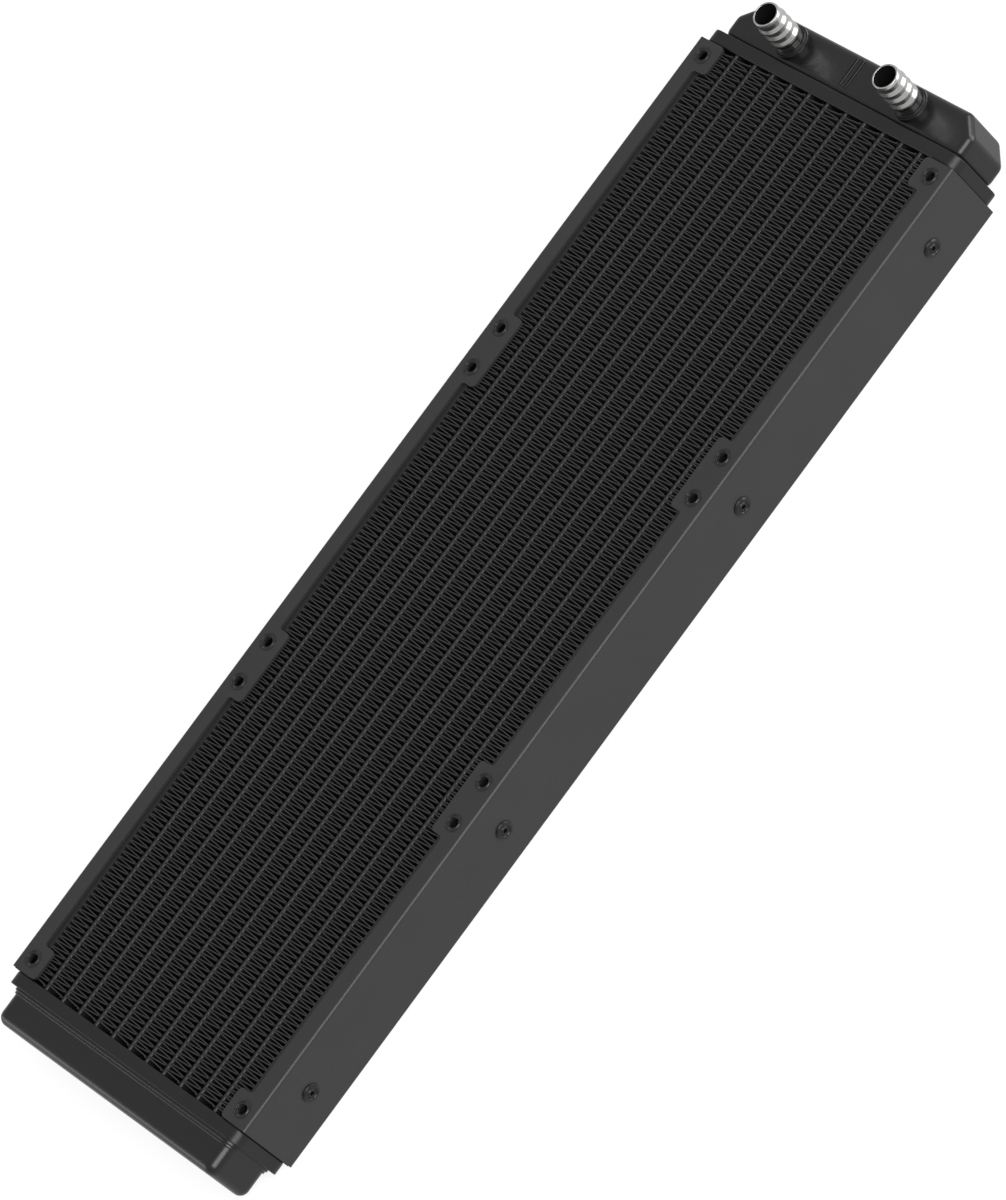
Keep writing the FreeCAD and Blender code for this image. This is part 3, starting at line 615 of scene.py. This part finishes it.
def cut_thread(angle):
    """Depth of the thread's groove, a wave that climbs one pitch in each turn."""
    phase = 2 * math.pi * neck_line[:, 1] / THREAD_PITCH - angle
    return -THREAD_DEPTH * threaded * (0.5 - 0.5 * np.cos(phase)) ** THREAD_FLANK


neck_coat = coated("neck_coat", NECK_COLOUR, 0.24, relief=0.001 * MM, gloss=0.15)
for side, sign in SIDES:
    neck = at_port(sign, turned(neck_line, cut_thread))
    make_piece(f"fitting_neck_{side}_threaded", [(neck, ring_faces(neck))], neck_coat,
               f"fitting_{side}", [f"fitting_neck_{side}"], crease=60)

# ---------------------------------------------------------------- hose barbs
# Bright nickel-plated brass, turned with three crests that slope in towards the tip, so
# that a hose slides on and grips. The bore is painted near black: painted shade for the
# dark tank that lies beyond it.
NICKEL_DARKEST = (0.66, 0.657, 0.648)
NICKEL_LIGHTEST = (0.84, 0.836, 0.825)
TURNING_MARK = 0.3 * MM
PLATE_CLOUD = 3.0 * MM
# Painted shade: near-black colour for the bore's inner wall.
BORE_SHADE_COLOUR = (0.006, 0.006, 0.006)
BARB_PROFILE = np.array([
    (3.1, -2.3), (3.9, -2.3), (3.9, 5.55), (4.75, 5.55), (5.0, 5.9), (5.0, 6.45), (4.35, 7.8),
    (4.35, 8.2), (5.0, 9.5), (5.0, 10.05), (4.35, 11.4), (4.35, 11.8), (5.0, 13.1),
    (5.0, 13.65), (4.35, 15.0), (4.35, 16.4), (4.62, 16.9), (4.3, 17.9), (3.8, 17.9),
    (3.75, 5.55), (3.1, 4.95)]) * MM
BARB_RADII = np.array([
    0.1, 0.1, 0.05, 0.1, 0.3, 0.5, 0.7, 0.7, 0.5, 0.5, 0.7, 0.7, 0.5, 0.5, 0.7, 0.4, 0.3,
    0.18, 0.12, 0.2, 0.2]) * MM
BARB_ARC_STEPS = 8
BARB_REST = 0.04 * MM
BORE_RADIUS = 3.9 * MM
BORE_TOP = 17.0 * MM


def nickel_plate():
    """Bright plate over fine turning marks that run round each barb."""
    shader = Shader("nickel_plate")
    marks = shader.noise(TURNING_MARK, stretch=(0.1, 0.1, 1.0))
    cloud = shader.noise(PLATE_CLOUD)
    shader.set(
        Base_Color=shader.blend(cloud, NICKEL_DARKEST, NICKEL_LIGHTEST),
        Metallic=1.0,
        Roughness=0.19 + 0.07 * marks + 0.05 * cloud,
    )
    return shader.material


nickel = nickel_plate()
# Painted shade: a near-black coat that stands in for the shade inside the bore.
bore_painted_shade = coated("bore_painted_shade", BORE_SHADE_COLOUR, 0.7, level=0.2)
barb_points = turned(rounded(BARB_PROFILE, BARB_ARC_STEPS, BARB_RADII, rest=BARB_REST))
for side, sign in SIDES:
    barb = make_piece(
        f"hose_barb_{side}_turned", [(at_port(sign, barb_points), ring_faces(barb_points))],
        nickel, f"fitting_{side}", [f"hose_barb_{side}"])
    barb.data.materials.append(bore_painted_shade)
    # Faces inside the bore take the painted-shade coat.
    centres = np.empty(3 * len(barb.data.polygons))
    barb.data.polygons.foreach_get("center", centres)
    from_axis = centres.reshape(-1, 3) - at_port(sign, np.zeros(3))
    in_shaded_bore = (np.hypot(from_axis[:, 0], from_axis[:, 1]) < BORE_RADIUS) & (
        from_axis[:, 2] < BORE_TOP)
    barb.data.polygons.foreach_set("material_index", in_shaded_bore.astype(np.int32))

# ---------------------------------------------------------------- floor, light and camera
# A pale floor that glows a little, as a light table does, one large softbox from the
# front, three small ones for the edges, and a dim white room that is paler low down.
FLOOR_HALF = 12.0
FLOOR_TONE = (0.26, 0.26, 0.26, 1)
FLOOR_GLOW = 0.84
WHITE = (1, 1, 1, 1)
ROOM_HIGH = 0.42
ROOM_LOW = 0.62
ROOM_FADE = (-0.3, 0.1)
floor_mesh = bpy.data.meshes.new("floor")
floor_mesh.from_pydata(
    [(x * FLOOR_HALF, y * FLOOR_HALF, 0) for x, y in ((-1, -1), (1, -1), (1, 1), (-1, 1))],
    [], [(0, 1, 2, 3)])
floor = bpy.data.objects.new("floor", floor_mesh)
bpy.context.scene.collection.objects.link(floor)
floor_paint = Shader("floor_paint")
floor_paint.set(
    Base_Color=FLOOR_TONE, Roughness=0.9, Emission_Color=WHITE, Emission_Strength=FLOOR_GLOW)
floor_mesh.materials.append(floor_paint.material)
floor.visible_diffuse = False
floor.visible_glossy = False

world = bpy.data.worlds.new("studio")
world.use_nodes = True
room = world.node_tree.nodes
background = room["Background"]
towards_room = room.new("ShaderNodeTexCoord")
height = room.new("ShaderNodeSeparateXYZ")
fade = room.new("ShaderNodeMapRange")
for socket, value in (("From Min", ROOM_FADE[0]), ("From Max", ROOM_FADE[1]),
                      ("To Min", ROOM_LOW), ("To Max", ROOM_HIGH)):
    fade.inputs[socket].default_value = value
links = world.node_tree.links
links.new(towards_room.outputs["Generated"], height.inputs["Vector"])
links.new(height.outputs["Z"], fade.inputs["Value"])
links.new(fade.outputs["Result"], background.inputs["Strength"])
background.inputs["Color"].default_value = WHITE
bpy.context.scene.world = world


def direction(azimuth, elevation):
    """Unit vector from the object towards a place that far round and up."""
    a, e = math.radians(azimuth), math.radians(elevation)
    return Vector((math.sin(a) * math.cos(e), -math.cos(a) * math.cos(e), math.sin(e)))


def softbox(name, azimuth, elevation, distance, size, watts):
    """A rectangular lamp that faces the object and isn't seen itself: angles in degrees,
    distance and size in metres."""
    light = bpy.data.lights.new(name, "AREA")
    light.shape = "RECTANGLE"
    light.size, light.size_y = size
    light.energy = watts
    lamp = bpy.data.objects.new(name, light)
    away = direction(azimuth, elevation)
    turn = away.to_track_quat("Z", "Y").to_matrix().to_4x4()
    lamp.matrix_world = Matrix.Translation(away * distance) @ turn
    lamp.visible_camera = False
    bpy.context.scene.collection.objects.link(lamp)


softbox("key", 2, 46, 2.6, (2.0, 1.7), 42)
softbox("side", 60, 8, 0.8, (0.5, 0.5), 2.2)
softbox("corner", 81, 24, 1.2, (0.4, 0.4), 1.5)
softbox("rim", 228, 12, 1.5, (0.9, 0.5), 2.0)

LENS = 229.6
SENSOR_WIDTH = 36
DISTANCE = 2.314
AZIMUTH = -7.32
ELEVATION = 47.35
ROLL = -48.17
AIM = Vector((-0.0017, -0.0021, 0.0124))
camera_data = bpy.data.cameras.new("camera")
camera_data.lens = LENS
camera_data.sensor_width = SENSOR_WIDTH
camera_data.sensor_fit = "AUTO"
camera = bpy.data.objects.new("camera", camera_data)
back = direction(AZIMUTH, ELEVATION)
right = back.cross(Vector((0, 0, 1))) * -1
right.normalize()
up = back.cross(right)
# The view's right and up, turned about the line of sight by the roll.
cos_roll, sin_roll = math.cos(math.radians(ROLL)), math.sin(math.radians(ROLL))
right, up = right * cos_roll + up * sin_roll, up * cos_roll - right * sin_roll
camera.matrix_world = Matrix.Translation(AIM + back * DISTANCE) @ Matrix(
    (right, up, back)).transposed().to_4x4()
bpy.context.scene.collection.objects.link(camera)
bpy.context.scene.camera = camera
bpy.context.scene.view_settings.view_transform = "Standard"
